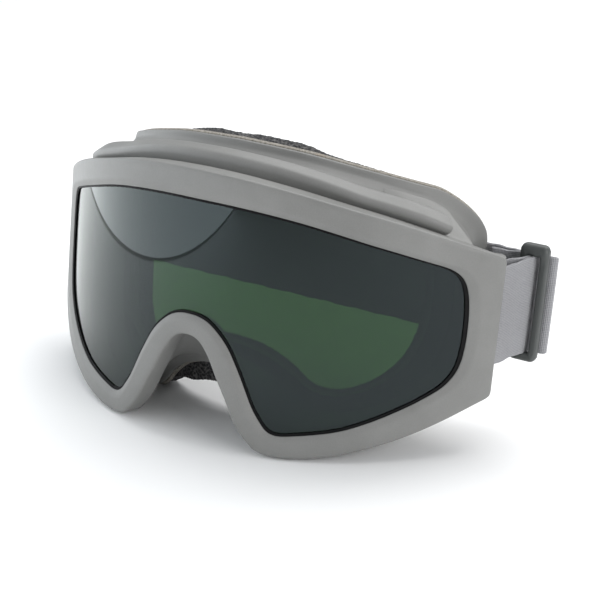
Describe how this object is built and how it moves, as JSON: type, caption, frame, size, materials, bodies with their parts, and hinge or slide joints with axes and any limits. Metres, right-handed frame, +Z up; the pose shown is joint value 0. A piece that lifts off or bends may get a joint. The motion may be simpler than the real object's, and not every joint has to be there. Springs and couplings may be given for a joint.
{
  "type": "welding goggles",
  "caption": "Panoramic welding goggles with a curved tinted lens in a soft grey frame, indirect vents, face foam, an elastic headband and a sliding buckle.",
  "frame": {"origin": "bottom centre of the whole object's box: the surface that the goggles stand on, under the middle of the lens", "axes": "-Y is the front (lens side), +Y the wearer's side, +X the wearer's left, +Z up; the goggles lean back 6.3 degrees, as they stand on a table"},
  "size_m": [0.1994, 0.08, 0.1002],
  "materials": {
    "frame_grey": "soft satin moulding, mid grey",
    "tinted_lens": "dark green shade, glossy",
    "black_seal": "matt black",
    "foam_carrier": "light speckled carrier layer",
    "face_foam": "open-cell foam, dark grey",
    "vent_mesh": "fine dark filter",
    "webbing": "woven elastic, light grey",
    "buckle_plastic": "satin dark grey"
  },
  "bodies": {
    "frame": {"lens_frame": "frame_grey", "lens": "tinted_lens", "lens_seal": "black_seal", "face_frame": "frame_grey", "foam_backing": "foam_carrier", "foam_pad": "face_foam", "top_vent_cover": "frame_grey", "top_vent_filter": "vent_mesh", "bottom_vent_cover_left": "frame_grey", "bottom_vent_filter_left": "vent_mesh", "bottom_vent_cover_right": "frame_grey", "bottom_vent_filter_right": "vent_mesh", "strap_side_left": "webbing", "strap_side_right": "webbing"},
    "headband": {"strap_band": "webbing", "strap_tail": "webbing"},
    "buckle": {"buckle": "buckle_plastic"}
  },
  "joints": [
    {"name": "headband_pull", "type": "slide", "parent": "frame", "child": "headband", "axis": [0, 0.994, -0.1093], "range_m": [0, 0.025], "stiffness_N_per_m": 150, "deforming": ["strap_side_left", "strap_side_right"]},
    {"name": "buckle_slide", "type": "slide", "parent": "headband", "child": "buckle", "axis": [-0.32, -0.9417, 0.1036], "range_m": [0, 0.007]}
  ]
}
